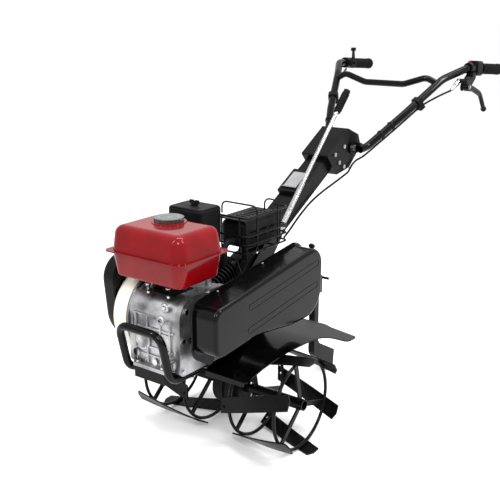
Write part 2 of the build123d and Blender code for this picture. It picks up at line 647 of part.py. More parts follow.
# ---- Exhaust ----
def make_exhaust():
    x, y, z = MUFFLER_X, MUFFLER_Y, MUFFLER_Z
    box = fillet(block(x, y, z).edges(), 14)
    box -= block((x[0] + 3, x[1] - 3), (y[0] + 14, y[1] - 14), (z[0] + 3, z[1] - 3))
    inlet_y = y[0] - 62
    level = (GUARD_Z[1] + GUARD_Z[2]) / 2
    points = [(PIPE_X, y[0] + 2, level), (PIPE_X, inlet_y, level), (PIPE_X, inlet_y, z[0] - 60)]
    pipe = tube(points, [18], PIPE_R, PIPE_R - SHEET)
    fins = RectangleRounded(2 * (FIN_HALF + 11 + GAP), 2 * (FIN_HALF - 7 + GAP), 22)
    pipe -= extrude(cylinder_plane(CYLINDER_START - 9) * fins, amount=130)
    box += pipe.solids().sort_by(Axis.Z)[-1]
    box += rod((50, y[0] + 14, z[0] + 3), (50, y[0] + 14, z[0] - 30), 9)
    save("muffler", box)

    outer = block((x[0], x[1] + SHIELD_GAP + 1.5), (y[0] - 5, y[1] + 5), (z[0] - 4, z[1] + 6))
    shield = fillet(outer.edges().filter_by(Axis.Y).sort_by(Axis.X)[-2:], 10)
    inner = block((x[0] - 9, x[1] + SHIELD_GAP), (y[0] - 9, y[1] + 9), (z[0] - 9, z[1] + SHIELD_GAP))
    shield -= fillet(inner.edges().filter_by(Axis.Y).sort_by(Axis.X)[-2:], 9)
    face = x[1] + SHIELD_GAP - 1
    for row in range(3):
        for n in range(3):
            low = (y[0] + 12 + n * 42, z[0] + 10 + row * 15)
            shield -= block((face, face + 6), (low[0], low[0] + 30), (low[1], low[1] + 6))
    for n in range(7):
        low = y[0] + 16 + n * 16
        shield -= block((x[0] + 16, x[1] - 22), (low, low + 7), (z[1] + 3, z[1] + 8))
    for stud_y in (4, 90):
        shield += rod((-6, stud_y, z[1]), (-6, stud_y, z[1] + SHIELD_GAP + 0.5), 7)
    save("heat_shield", shield)

    rear_x = MAST_WIDE / 2 + GUARD_REAR_GAP
    wires = []
    for height in GUARD_Z:
        points = [
            (GUARD_X[0], GUARD_Y[0], height),
            (GUARD_X[1], GUARD_Y[0], height),
            (GUARD_X[1], GUARD_Y[1], height),
            (rear_x, GUARD_Y[1], height),
        ]
        wires.append(tube(points, [14, 14], GUARD_ROD_R))
    cage = wires[0]
    for wire in wires[1:]:
        cage += wire
    low, high = GUARD_Z[0], GUARD_Z[-1]
    for place in (0.25, 0.75):
        yy = GUARD_Y[0] + place * (GUARD_Y[1] - GUARD_Y[0])
        rise = high + 24
        inner_x = GUARD_X[1] - 1.2
        end_x = rear_x if yy > 50 else GUARD_X[0]
        loop = [(inner_x, yy, low - 1), (inner_x, yy, rise), (end_x, yy, rise), (end_x, yy, high - 8)]
        cage += tube(loop, [16, 16], GUARD_ROD_R - 0.3)
    for xx, yy in ((0, GUARD_Y[0]), (GUARD_X[1] - 24, GUARD_Y[0]), (GUARD_X[1] - 24, GUARD_Y[1])):
        inside = 1.2 if yy < 0 else -1.2
        cage += rod((xx, yy + inside, low - 1), (xx, yy + inside, high + 1), GUARD_ROD_R - 0.3)
    for yy in (14, 74):
        cage += rod((30, yy, low - 1.2), (GUARD_X[1], yy, low - 1.2), GUARD_ROD_R - 0.3)
        cage += rod((34, yy + 1, low - 2), (34, yy + 1, MUFFLER_Z[0]), GUARD_ROD_R - 0.6)
    save("wire_guard", cage)


# ---- Frame ----
def make_frame():
    front_y = CASE_Y[0] - CASE_FOOT
    plate = block((-82, 84), (BASE_NOSE_Y, -46), (BASE_Z - PLATE, BASE_Z))
    plate += block((-BASE_NOSE, BASE_NOSE), (front_y, BASE_NOSE_Y), (BASE_Z - PLATE, BASE_Z))
    rails = []
    for x0 in (GEARBOX_HALF, -GEARBOX_HALF - RAIL):
        rails.append(block((x0, x0 + RAIL), (CASE_Y[0] + 6, 84), RAIL_Z))
    nose_x = (-BASE_NOSE + 6, BASE_NOSE - 4)
    front = block(nose_x, (front_y, front_y + PLATE), (BASE_Z - 28, BASE_Z - PLATE))
    stays = []
    for side in (1, -1):
        inner = side * (GEARBOX_HALF + RAIL)
        foot_top = STAY_Z + STAY_THICK
        foot = block(sorted((inner, inner + side * 30)), (20, 44), (STAY_Z, foot_top))
        stays.append(foot + block(sorted((inner + side * 26, inner + side * 30)), (20, 44), (foot_top, 283)))
    save("engine_base", plate + rails[0] + rails[1] + front + stays[0] + stays[1])

    leg_z = BASE_Z - PLATE - BUMPER_R
    leg = [
        (BUMPER_X, BUMPER_END_Y, leg_z),
        (BUMPER_X, BUMPER_BEND_Y, leg_z),
        (BUMPER_X, *BUMPER_TOP),
    ]
    points = leg + [(-x, y, z) for x, y, z in reversed(leg)]
    save("front_bumper", tube(points, [40, 30, 30, 40], BUMPER_R, BUMPER_R - 2))

    for x in (-BUMPER_X, BUMPER_X):
        place = (x, BUMPER_END_Y - 16, leg_z - BUMPER_R)
        fasteners.append(bolt(place, (0, 0, -1), 4, 7, 5, 0))
    for x in (-40, 40):
        for y in (CASE_Y[0] - CASE_FOOT / 2, CASE_Y[1] + CASE_FOOT / 2):
            fasteners.append(bolt((x, y, BASE_Z + 9), (0, 0, 1), 4, 6.5, 6, 0))
    for side in (1, -1):
        for y in (-4, 70):
            place = (side * (GEARBOX_HALF + RAIL), y, 274)
            fasteners.append(bolt(place, (side, 0, 0), 5, 8, 6, 0))


def mud_guard():
    """Left mud guard: an arched plate over the wheel with a wing at its rear."""
    front, rear = -166, 190
    line = ThreePointArc((front, 238), (-40, 279), (90, 288))
    arch = line + Line((90, 288), (rear, 284))
    strip = make_face(arch + Line((rear, 284), (rear, 287)) + Line((rear, 287), (90, 291))
                      + ThreePointArc((90, 291), (-41, 282), (front - 1, 241))
                      + Line((front - 1, 241), (front, 238)))
    x0 = GEARBOX_HALF + RAIL
    plate = slab(strip, x0, 300)
    plan = [
        (x0 - 1, front - 8, 0),
        (168, front - 8, 12),
        (178, -120, 60),
        (208, 20, 60),
        (222, 108, 40),
        (292, 110, 14),
        (292, 158, 14),
        (200, 178, 40),
        (150, 200, 20),
        (x0 - 1, 200, 0),
    ]
    flat = make_face(
        FilletPolyline(*[p[:2] for p in plan], radius=[p[2] for p in plan], close=True)
    )
    plate &= extrude(Pos(0, 0, 200) * flat, amount=120)
    lip = slab(outline((front - 2, 240, 1), (front + 1, 241, 1), (front + 1, 226, 1),
                       (front - 2, 226, 1)), x0, 160)
    return plate + lip


def make_mud_guards():
    guard = mud_guard()
    save("left_mud_guard", guard)
    save("right_mud_guard", mirrored(guard))


def make_hitch():
    start = DRIVEN_Y - 28
    side = STAKE_SIDE / 2 + GAP
    outer = side + SOCKET_WALL
    arm = block((-25, 25), (76, STAKE_Y - outer + 1), (HITCH_Z, HITCH_Z + HITCH_THICK))
    arm += block((-25, 25), (72, 84), (HITCH_Z - 20, HITCH_Z + 40))
    arm += block((-outer, outer), (STAKE_Y - outer, STAKE_Y + outer), (HITCH_Z - 15, HITCH_Z + 40))
    arm -= block((-side, side), (STAKE_Y - side, STAKE_Y + side), (HITCH_Z - 20, HITCH_Z + 50))
    low = (0, AXLE_Z, GEARBOX_LOW_R + 5)
    high = (DRIVEN_Y, DRIVEN_Z, GEARBOX_HIGH_R + 5)
    arm += block((-25, 25), (start, 84), (HITCH_Z - 20, HITCH_Z + 40))
    arm -= slab(hull(low, high), -40, 40)
    arm -= rod((0, 340, HITCH_Z - 5), (0, 340, HITCH_Z + 20), 6.5)
    screw_z = HITCH_Z + 24
    arm -= rod((0, STAKE_Y + side, screw_z), (0, STAKE_Y + outer + 1, screw_z), 5 + RUN)
    screw = rod((0, STAKE_Y + side, screw_z), (0, STAKE_Y + outer + 22, screw_z), 5)
    screw += rod((-26, STAKE_Y + outer + 22, screw_z), (26, STAKE_Y + outer + 22, screw_z), 4)
    save("hitch_arm", arm, screw)

    half = STAKE_SIDE / 2
    top = HITCH_Z + 60
    profile = outline(
        (STAKE_Y - half, top, 2),
        (STAKE_Y + half, top, 2),
        (STAKE_Y + half, 118, 30),
        (514, 62, 3),
        (508, 0, 3),
        (484, 0, 3),
        (STAKE_Y - half, 84, 30),
    )
    save("drag_stake", slab(profile, -half, half))


# ---- Mast and console ----
def mast_plane(distance, above=0.0):
    """Plane across the mast at a distance along it; its Y axis points off the mast's top."""
    tilt = radians(MAST_TILT)
    y = MAST_START[0] + distance * cos(tilt) - above * sin(tilt)
    z = MAST_START[1] + distance * sin(tilt) + above * cos(tilt)
    return Plane(origin=(0, y, z), x_dir=(-1, 0, 0), z_dir=(0, cos(tilt), sin(tilt)))


def console_outline(inset):
    edge = Polyline(
        (385, 715), (500, 783), (562, 758), (578, 722), (512, 664), (440, 652), close=True
    )
    return offset(make_face(edge), amount=-inset, kind=Kind.INTERSECTION)


def make_mast():
    section = Rectangle(MAST_WIDE, MAST_DEEP)
    wall = Rectangle(MAST_WIDE - 2 * MAST_WALL, MAST_DEEP - 2 * MAST_WALL)
    mast = extrude(mast_plane(0) * (section - wall), amount=MAST_LENGTH)
    foot = hull((DRIVEN_Y, DRIVEN_Z, 34), (150, 533, 26), (118, 498, 26))
    half = MAST_WIDE / 2
    for x in (half, -half - PLATE):
        mast += slab(foot, x, x + PLATE)
    mast -= disc(DRIVEN_Y, DRIVEN_Z, 16, half, half + PLATE)
    mast += disc(*SHIFT_PIVOT, 12, half + PLATE - 1, half + PLATE + 1.5)
    save("mast", mast + disc(*SHIFT_PIVOT, 5, half + PLATE + 1, SHIFT_X + 12))

    box = slab(console_outline(0), -CONSOLE_HALF, CONSOLE_HALF)
    box = fillet(box.edges().filter_by(Axis.X), 4)
    t = CONSOLE_WALL
    box -= slab(console_outline(t), -CONSOLE_HALF + t, CONSOLE_HALF - t)
    hole = Rectangle(MAST_WIDE + 2 * GAP, MAST_DEEP + 2 * GAP)
    box -= extrude(mast_plane(MAST_LENGTH - 140) * hole, amount=140 + 5)
    box -= disc(*PIVOT, PIVOT_R + GAP, -60, 60)
    for y, z in CONSOLE_BOLTS:
        for x0 in (-CONSOLE_HALF + t - 1, MAST_WIDE / 2):
            box += disc(y, z, 7, x0, x0 + CONSOLE_HALF - t + 1 - MAST_WIDE / 2)
    save("console", box)
    for side in (1, -1):
        for y, z in (*CONSOLE_BOLTS, (476, 672), (425, 714)):
            fasteners.append(bolt((side * CONSOLE_HALF, y, z), (side, 0, 0), 4, 7, 5, 0))

    width = 2 * (CONSOLE_HALF + 6.5)
    pivot = disc(*PIVOT, PIVOT_R, -width / 2, width / 2)
    for x0 in (-width / 2 - 6, width / 2):
        pivot += disc(*PIVOT, 10, x0, x0 + 6)
    fasteners.append(pivot)

    plate = extrude(mast_plane(190, MAST_DEEP / 2 + 6) * Rectangle(66, 12), amount=96)
    face = extrude(mast_plane(204, MAST_DEEP / 2 + 12 + 1) * Rectangle(44, 2), amount=66)
    save("gear_indicator", plate, face)


def make_shift_lever():
    y0, z0 = SHIFT_PIVOT
    step = SHIFT_LENGTH * 0.3
    knee = polar(y0, z0, step, SHIFT_TILT)
    top = polar(y0, z0, SHIFT_LENGTH - 78, SHIFT_TILT)
    tip = polar(y0, z0, SHIFT_LENGTH, SHIFT_TILT)
    foot = polar(y0, z0, -34, SHIFT_TILT)
    lever = rod((SHIFT_X, *foot), (SHIFT_X, *knee), 7) + rod((SHIFT_X, *knee), (SHIFT_X, *top), 5.5)
    lever += disc(y0, z0, 10, SHIFT_X - 6.5, SHIFT_X + 6.5)
    lever -= disc(y0, z0, 5 + RUN, SHIFT_X - 20, SHIFT_X + 20)
    save("shift_lever", lever)
    grip = rod((SHIFT_X, *top), (SHIFT_X, *tip), 10)
    for n in range(7):
        ring = polar(y0, z0, SHIFT_LENGTH - 70 + n * 9, SHIFT_TILT)
        end = polar(y0, z0, SHIFT_LENGTH - 66 + n * 9, SHIFT_TILT)
        grip += rod((SHIFT_X, *ring), (SHIFT_X, *end), 11.5)
    save("shift_grip", grip)


# ---- Handlebar ----
ARM_LOW = (132.0, 687.0, 812.0)  # corners of the left arm's centre line
ARM_HIGH = (190.0, 822.0, 912.0)
BAR_START = (236.0, 905.0, 944.0)  # where the hand end of the left arm becomes straight
BAR_END = (246.3, 1132.0, 928.1)


def bar_plane(distance):
    """Plane across the hand end of the left arm; its X axis points inwards, its Y axis up."""
    along = (Vector(*BAR_END) - Vector(*BAR_START)).normalized()
    origin = Vector(*BAR_START) + along * distance
    level = Vector(0, 0, 1).cross(along)
    return Plane(origin=origin, x_dir=level, z_dir=along)


def arm_tube(r, bore=0.0):
    """The left arm's tube, or the space that it fills when no bore is given."""
    x = CONSOLE_HALF + GAP + 6 + TUBE_R
    points = [
        (x, PIVOT[0] + 20, PIVOT[1] - 6),
        (x + 8, 572, 722),
        ARM_LOW,
        ARM_HIGH,
        BAR_START,
        BAR_END,
    ]
    return tube(points, [50, 160, 110, 60], r, bore)


def handle_arm():
    x = CONSOLE_HALF + GAP
    lug = slab(hull((*PIVOT, 17), (PIVOT[0] + 46, PIVOT[1] - 4, 14)), x, x + 6)
    arm = arm_tube(TUBE_R, TUBE_BORE) + lug
    weld = slab(hull((PIVOT[0] + 24, PIVOT[1] - 5, 9), (PIVOT[0] + 44, PIVOT[1] - 3, 9)), x + 5, x + 9)
    arm += weld - rod((x + 6 + TUBE_R, 530, PIVOT[1] - 6), (x + 14 + TUBE_R, 572, 722), TUBE_BORE)
    return arm - disc(*PIVOT, PIVOT_R + RUN, x - 1, x + 20)


def make_handlebar():
    arm = handle_arm()
    save("handle_arms", arm, mirrored(arm))
    end = (184, 804, 898)
    points = [
        (-end[0], *end[1:]),
        (-146, 800, 917),
        (-70, 796, 893),
        (70, 796, 893),
        (146, 800, 917),
        end,
    ]
    bar = tube(points, [36, 60, 60, 36], 10, 8)
    space = arm_tube(TUBE_R + RUN)
    bar = bar - space - mirrored(space)
    save("cross_bar", bar.solids().sort_by(SortBy.VOLUME)[-1])

    root = (Vector(*BAR_END) - Vector(*BAR_START)).length + 2 - GRIP_LENGTH
    grip = extrude(bar_plane(root) * Circle(GRIP_R), amount=GRIP_LENGTH)
    for share in (0.0, 0.93):
        ring = bar_plane(root + share * GRIP_LENGTH) * Circle(GRIP_R + 2.5)
        grip += extrude(ring, amount=8)
    grip -= extrude(bar_plane(root - 1) * Circle(TUBE_R + 0.05), amount=GRIP_LENGTH - 1)
    save("hand_grips", grip, mirrored(grip))


def collar(distance, length, r):
    """A clamp ring round the hand end of the left arm."""
    ring = Circle(r) - Circle(TUBE_R + 0.05)
    return extrude(bar_plane(distance) * ring, amount=length)


CLUTCH_PIVOT_AT = (-22.0, -8.0, -58.0)  # along the bar, towards the middle, and above it
CLUTCH_HALF = 7.0  # half width of the lever's hub, between the bracket's ears
EAR = 4.0
SWITCH_AT = 34.0
BUTTON_AT = (9.5, 16.5)  # beside the tube, towards the middle and above it
BUTTON_R = 6.0
LEVER_HALF = (6.0, 9.5)  # half sizes of the clutch lever's section
ADJUSTER = ((227.0, 868.0, 908.0), (215.0, 836.0, 879.0))  # where it screws in, and its end


def clutch_pivot():
    along, across, above = CLUTCH_PIVOT_AT
    return bar_plane(along).from_local_coords((across, above, 0))


def make_left_controls():
    pivot = clutch_pivot()
    x, y, z = pivot.X, pivot.Y, pivot.Z
    inner = CLUTCH_HALF + GAP
    outer = inner + EAR
    bracket = collar(2, 22, 17)
    web = extrude(bar_plane(2) * Pos(-8, -20) * Rectangle(2 * outer, 14), amount=22)
    bracket += web - extrude(bar_plane(0) * Circle(TUBE_R + RUN), amount=30)
    for side in (x - outer, x + inner):
        ear = hull((y, z, 13), (y + 34, z + 29, 9), (y + 44, z + 29, 9))
        bracket += slab(ear, side, side + EAR)
    nose = hull((y - 10, z + 18, 7), (y + 2, z + 19, 6))
    bracket += slab(nose, ADJUSTER[0][0] - 7, x + outer)
    bracket -= disc(y, z, 4 + RUN, x - 30, x + 30)
    bracket -= arm_tube(TUBE_R + RUN)
    pin = disc(y, z, 4, x - outer, x + outer) + disc(y, z, 6, x + outer, x + outer + 3)
    save("clutch_bracket", bracket, pin)

    corners = ((0, -3), (60, -10), (123, -31), (165, -84))
    path = FilletPolyline(*[(x, y + dy, z + dz) for dy, dz in corners], radius=[80, 50])
    section = Plane(origin=path @ 0, x_dir=(1, 0, 0), z_dir=path % 0) * Ellipse(*LEVER_HALF)
    lever = sweep(section, path=path)
    lever += Pos(*(path @ 1)) * Sphere(LEVER_HALF[1])
    lever += disc(y, z, 9, x - CLUTCH_HALF, x + CLUTCH_HALF)
    save("clutch_lever", lever - disc(y, z, 4 + RUN, x - 9, x + 9))
    start, end = Vector(*ADJUSTER[0]), Vector(*ADJUSTER[1])
    adjuster = rod(start, end, 5) + rod(start + (end - start) * 0.25, start + (end - start) * 0.5, 8)
    save("cable_adjuster", adjuster - bracket)

    housing = collar(SWITCH_AT, 34, 20)
    box = bar_plane(SWITCH_AT) * Pos(-1, 0.5) * RectangleRounded(38, 47, 9)
    housing += extrude(box, amount=34) - extrude(bar_plane(SWITCH_AT - 1) * Circle(15), amount=40)
    button = bar_plane(SWITCH_AT) * Pos(*BUTTON_AT)
    housing -= extrude(button * Circle(BUTTON_R + GAP), amount=14)
    save("switch_housing", housing)
    button_body = extrude(button * Pos(0, 0, -7) * Circle(BUTTON_R), amount=14)
    save("kill_button", fillet(button_body.edges().sort_by(Axis.Y)[0], 2))


def right_plane(distance):
    """Plane across the hand end of the right arm; its X axis points inwards."""
    plane = bar_plane(distance)
    at, along = plane.origin, plane.z_dir
    return Plane(
        origin=(-at.X, at.Y, at.Z), x_dir=(1, 0, 0), z_dir=(-along.X, along.Y, along.Z)
    )


def make_right_controls():
    body = mirrored(collar(40, 34, 18))
    drum = right_plane(57).origin
    x0 = drum.X + 17
    body += disc(drum.Y, drum.Z, 15, x0 - 2, x0 + 6)
    pin = disc(drum.Y, drum.Z, 4, x0 + 6, x0 + 20)
    save("throttle_body", body + pin)
    lever = disc(drum.Y, drum.Z, 14, x0 + 6 + GAP, x0 + 12)
    lever += slab(hull((drum.Y, drum.Z + 4, 9), (drum.Y - 2, drum.Z + 46, 5)), x0 + 7, x0 + 11)
    lever += Pos(x0 + 9, drum.Y - 2, drum.Z + 47) * Rot(Y=90) * Cylinder(6, 14)
    save("throttle_lever", lever - disc(drum.Y, drum.Z, 4 + RUN, x0, x0 + 30))
    return drum, x0


def make_cables():
    """Control cables, held under both arms and then beside the mast."""
    run = [
        (196, 806, 866),
        (160, 752, 838),
        (118, 662, 770),
        (92, 612, 732),
        (74, 580, 706),
        (64, 560, 692),
    ]
    out = (Vector(*ADJUSTER[1]) - Vector(*ADJUSTER[0])).normalized()
    left = [tuple(Vector(*ADJUSTER[1]) + out * 1.5), *run]
    right = [(-228, 940, 920), (-210, 850, 884), *[(-x, y, z) for x, y, z in run]]
    pieces = []
    for side, points in ((1, left), (-1, right)):
        bends = bend_radii(points)
        print("cable on the arm:", round(path_length(points)), "mm, least bend", round(min(bends)))
        pieces.append(tube(points, bends, CABLE_R))
        block_at = cable_clamp()
        block_at = block_at if side > 0 else mirrored(block_at)
        pieces.append(block_at - tube(points, bends, CABLE_R + RUN))
        for share in (0.35, 0.62):
            band = cable_tie(share)
            pieces.append(band if side > 0 else mirrored(band))
    save("handle_cables", *pieces)

    lower = [
        (52, 505, 664),
        (57, 489, 655),
        (50, 430, 634),
        (43, 370, 615),
        (40, 310, 594),
        (39.5, 250, 562),
        (40.5, 200, 530),
        (41, 175, 517),
    ]
    bends = bend_radii(lower)
    print("cable on the mast:", round(path_length(lower)), "mm, least bend", round(min(bends)))
    cable = tube(lower, bends, CABLE_R)
    save("mast_cables", cable, mirrored(cable))


def arm_point(start, end, share):
    """A plane across a straight run of the left arm, with its Y axis pointing up."""
    along = (Vector(*end) - Vector(*start)).normalized()
    origin = Vector(*start) + (Vector(*end) - Vector(*start)) * share
    return Plane(origin=origin, x_dir=Vector(0, 0, 1).cross(along), z_dir=along)


def cable_clamp():
    """Clamp block round the left arm and the cable that runs under it."""
    plane = arm_point(ARM_LOW, ARM_HIGH, 0.3)
    body = extrude(plane * Pos(0, -6) * RectangleRounded(32, 40, 6), amount=16)
    return body - arm_tube(TUBE_R + RUN)


def cable_tie(share):
    """A plastic band round the left arm, over the cable's lower run."""
    plane = arm_point((CONSOLE_HALF + GAP + 14 + TUBE_R, 572, 722), ARM_LOW, share)
    return extrude(plane * Circle(TUBE_R + 2), amount=6) - arm_tube(TUBE_R + RUN)


def path_length(points):
    pairs = zip(points, points[1:])
    return sum((Vector(*b) - Vector(*a)).length for a, b in pairs)


def bend_radii(points):
    """Each bend as large as its two runs allow."""
    radii = []
    for a, b, c in zip(points, points[1:], points[2:]):
        first = Vector(*b) - Vector(*a)
        second = Vector(*c) - Vector(*b)
        turn = radians(first.get_angle(second))
        radii.append(0.45 * min(first.length, second.length) / (sin(turn / 2) / cos(turn / 2)))
    return radii


os.makedirs("parts", exist_ok=True)
make_wheels()
make_gearbox()
make_belt_drive()
make_crankcase()
make_cylinder()
make_crank()
make_fan_housing()
save("starter_grip", starter_grip())
make_tank()
make_intake()
make_exhaust()
make_frame()
make_mud_guards()
make_hitch()
make_mast()
make_shift_lever()
make_handlebar()
make_left_controls()
make_right_controls()
make_cables()
save("bolts_and_plugs", *fasteners)
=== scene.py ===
import json
from math import cos, pi, radians, sin

import bmesh
import bpy
from mathutils import Matrix, Vector


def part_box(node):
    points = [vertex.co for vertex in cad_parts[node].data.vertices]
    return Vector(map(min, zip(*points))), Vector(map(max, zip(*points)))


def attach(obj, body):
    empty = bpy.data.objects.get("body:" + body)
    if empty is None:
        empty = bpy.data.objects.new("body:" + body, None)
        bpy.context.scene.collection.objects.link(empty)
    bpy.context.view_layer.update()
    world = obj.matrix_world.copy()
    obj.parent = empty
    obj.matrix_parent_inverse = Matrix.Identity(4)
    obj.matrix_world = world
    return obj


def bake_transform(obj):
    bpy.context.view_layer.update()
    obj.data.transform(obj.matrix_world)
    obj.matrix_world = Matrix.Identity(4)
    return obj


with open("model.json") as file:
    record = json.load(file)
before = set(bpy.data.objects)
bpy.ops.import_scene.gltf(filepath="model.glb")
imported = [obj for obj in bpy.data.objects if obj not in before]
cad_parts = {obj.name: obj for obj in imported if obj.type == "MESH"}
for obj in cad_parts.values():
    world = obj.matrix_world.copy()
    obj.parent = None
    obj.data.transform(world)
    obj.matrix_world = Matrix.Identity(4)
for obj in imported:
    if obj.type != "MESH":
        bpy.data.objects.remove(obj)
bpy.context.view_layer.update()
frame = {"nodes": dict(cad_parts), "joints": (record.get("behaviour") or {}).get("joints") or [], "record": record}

# The rotary tiller's finish and small parts, in metres. +X is the machine's left, +Y its rear.
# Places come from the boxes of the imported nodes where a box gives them. The others are written
# out, in the same frame.

SIDES = ((1, "left"), (-1, "right"))


# ---- Materials ----
def material(name, dark, light, rough, metal=0.0, coat=0.0, spec=0.08, grain=180.0, bump=0.1,
             stretch=(1, 1, 1)):
    """A surface whose colour and roughness drift over the piece, with a fine bump."""
    mat = bpy.data.materials.new(name)
    mat.use_nodes = True
    nodes, links = mat.node_tree.nodes, mat.node_tree.links
    shader = nodes["Principled BSDF"]
    shader.inputs["Metallic"].default_value = metal
    shader.inputs["Specular IOR Level"].default_value = spec
    shader.inputs["Coat Weight"].default_value = coat
    shader.inputs["Coat Roughness"].default_value = 0.06
    place = nodes.new("ShaderNodeTexCoord")
    scale = nodes.new("ShaderNodeMapping")
    scale.inputs["Scale"].default_value = stretch
    links.new(place.outputs["Object"], scale.inputs["Vector"])

    broad = nodes.new("ShaderNodeTexNoise")
    broad.inputs["Scale"].default_value = 14.0
    broad.inputs["Detail"].default_value = 5.0
    links.new(place.outputs["Object"], broad.inputs["Vector"])
    colour = nodes.new("ShaderNodeValToRGB")
    colour.color_ramp.elements[0].position = 0.34
    colour.color_ramp.elements[0].color = (*dark, 1)
    colour.color_ramp.elements[1].position = 0.72
    colour.color_ramp.elements[1].color = (*light, 1)
    links.new(broad.outputs["Fac"], colour.inputs["Fac"])
    links.new(colour.outputs["Color"], shader.inputs["Base Color"])

    smear = nodes.new("ShaderNodeTexNoise")
    smear.inputs["Scale"].default_value = 45.0
    smear.inputs["Detail"].default_value = 6.0
    links.new(scale.outputs["Vector"], smear.inputs["Vector"])
    gloss = nodes.new("ShaderNodeMapRange")
    gloss.inputs["From Min"].default_value = 0.3
    gloss.inputs["From Max"].default_value = 0.75
    gloss.inputs["To Min"].default_value = rough[0]
    gloss.inputs["To Max"].default_value = rough[1]
    links.new(smear.outputs["Fac"], gloss.inputs["Value"])
    links.new(gloss.outputs["Result"], shader.inputs["Roughness"])

    fine = nodes.new("ShaderNodeTexNoise")
    fine.inputs["Scale"].default_value = grain
    fine.inputs["Detail"].default_value = 3.0
    links.new(scale.outputs["Vector"], fine.inputs["Vector"])
    relief = nodes.new("ShaderNodeBump")
    relief.inputs["Strength"].default_value = bump
    relief.inputs["Distance"].default_value = 0.0006
    links.new(fine.outputs["Fac"], relief.inputs["Height"])
    links.new(relief.outputs["Normal"], shader.inputs["Normal"])
    return mat


def grey(value):
    return (value, value, value * 1.03)


GLOSS_BLACK = material("gloss_black", grey(0.0008), grey(0.002), (0.12, 0.22), coat=0.12,
                       bump=0.03)
FRAME_BLACK = material("frame_black", grey(0.0012), grey(0.0035), (0.24, 0.38), coat=0.05,
                       bump=0.1)
HEAT_BLACK = material("heat_black", grey(0.002), grey(0.007), (0.42, 0.62), bump=0.25)
CAST_BLACK = material("cast_black", grey(0.002), grey(0.007), (0.4, 0.58), grain=260, bump=0.5)
RED = material("tank_red", (0.115, 0.0003, 0.0014), (0.17, 0.0006, 0.0026), (0.1, 0.18), coat=0.25,
               bump=0.02)
CAST = material("cast_aluminium", grey(0.12), grey(0.56), (0.26, 0.52), metal=0.92, grain=320,
                bump=0.6)
CREAM = material("cream_paint", (0.62, 0.58, 0.49), (0.76, 0.72, 0.63), (0.3, 0.45), coat=0.1,
                 bump=0.06)
STEEL = material("bright_steel", grey(0.3), grey(0.52), (0.14, 0.32), metal=1.0, bump=0.06,
                 stretch=(1, 6, 6))
CAP_METAL = material("cap_metal", grey(0.1), grey(0.24), (0.14, 0.26), metal=1.0, bump=0.04)
PLATE_GREY = material("plate_grey", grey(0.26), grey(0.4), (0.2, 0.34), metal=0.6, bump=0.05)
PLASTIC = material("black_plastic", grey(0.002), grey(0.006), (0.4, 0.56), grain=520, bump=0.22)
GREY_PLASTIC = material("grey_plastic", grey(0.13), grey(0.19), (0.3, 0.45), grain=520, bump=0.12)
RUBBER = material("black_rubber", grey(0.002), grey(0.005), (0.6, 0.8), grain=420, bump=0.3)
RED_PLASTIC = material("red_plastic", (0.16, 0.002, 0.004), (0.24, 0.004, 0.006), (0.25, 0.38),
                       coat=0.2)
FLOOR = material("pale_floor", (0.88, 0.88, 0.88), (0.9, 0.9, 0.9), (0.6, 0.7), spec=0.1,
                 bump=0.02)

BY_SLOT = {
    "red_paint": RED,
    "black_paint": FRAME_BLACK,
    "black_cast": CAST_BLACK,
    "cast_aluminium": CAST,
    "black_aluminium": HEAT_BLACK,
    "cream_paint": CREAM,
    "bright_steel": STEEL,
    "black_plastic": PLASTIC,
    "grey_plastic": GREY_PLASTIC,
    "red_plastic": RED_PLASTIC,
    "black_rubber": RUBBER,
}
BY_NODE = {
    "belt_cover": GLOSS_BLACK,
    "front_bumper": GLOSS_BLACK,
    "handle_arms": GLOSS_BLACK,
    "cross_bar": GLOSS_BLACK,
    "left_mud_guard": GLOSS_BLACK,
    "right_mud_guard": GLOSS_BLACK,
    "muffler": HEAT_BLACK,
    "heat_shield": HEAT_BLACK,
    "fuel_cap": CAP_METAL,
    "gear_indicator": PLASTIC,
}
for part in frame["record"]["subparts"]:
    node = part["node"]
    for place in frame["nodes"][node].material_slots:
        place.material = BY_NODE.get(node, BY_SLOT[part["material_slot"]])


# ---- Mesh helpers ----
def piece(name, mesh, mat, body):
    """Puts a finished mesh or curve in the scene, riding on a body."""
    thing = bpy.data.objects.new(name, mesh)
    mesh.materials.append(mat)
    bpy.context.scene.collection.objects.link(thing)
    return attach(thing, body) if body else thing


def turned(axis):
    """Rotation that takes +Z to an axis."""
    return Vector(axis).to_track_quat("Z", "Y").to_matrix().to_4x4()


def revolve(profile, segments=36):
    """A surface of revolution about Z, from a profile of (radius, height) points."""
    bm = bmesh.new()
    rings = []
    for r, h in profile:
        if r < 1e-6:
            rings.append([bm.verts.new((0, 0, h))])
            continue
        turns = [2 * pi * n / segments for n in range(segments)]
        rings.append([bm.verts.new((r * cos(t), r * sin(t), h)) for t in turns])
    for low, high in zip(rings, rings[1:]):
        for n in range(segments):
            m = (n + 1) % segments
            # A ring of one vertex is a pole, so some corners can be the same.
            below = [low[n % len(low)], low[m % len(low)]]
            above = [high[m % len(high)], high[n % len(high)]]
            unique = list(dict.fromkeys(below + above))
            if len(unique) > 2:
                bm.faces.new(unique)
    return bm


def to_mesh(bm, name, places, smooth=True):
    """Copies a small bmesh to each place, given as matrices, in one mesh."""
    source = bpy.data.meshes.new(name + "_one")
    bmesh.ops.recalc_face_normals(bm, faces=bm.faces)
    bm.to_mesh(source)
    bm.free()
    whole = bmesh.new()
    for place in places:
        copy = bmesh.new()
        copy.from_mesh(source)
        copy.transform(place)
        made = bpy.data.meshes.new(name + "_copy")
        copy.to_mesh(made)
        whole.from_mesh(made)
        copy.free()
        bpy.data.meshes.remove(made)
    mesh = bpy.data.meshes.new(name)
    whole.to_mesh(mesh)
    whole.free()
    bpy.data.meshes.remove(source)
    for face in mesh.polygons:
        face.use_smooth = smooth
    return mesh


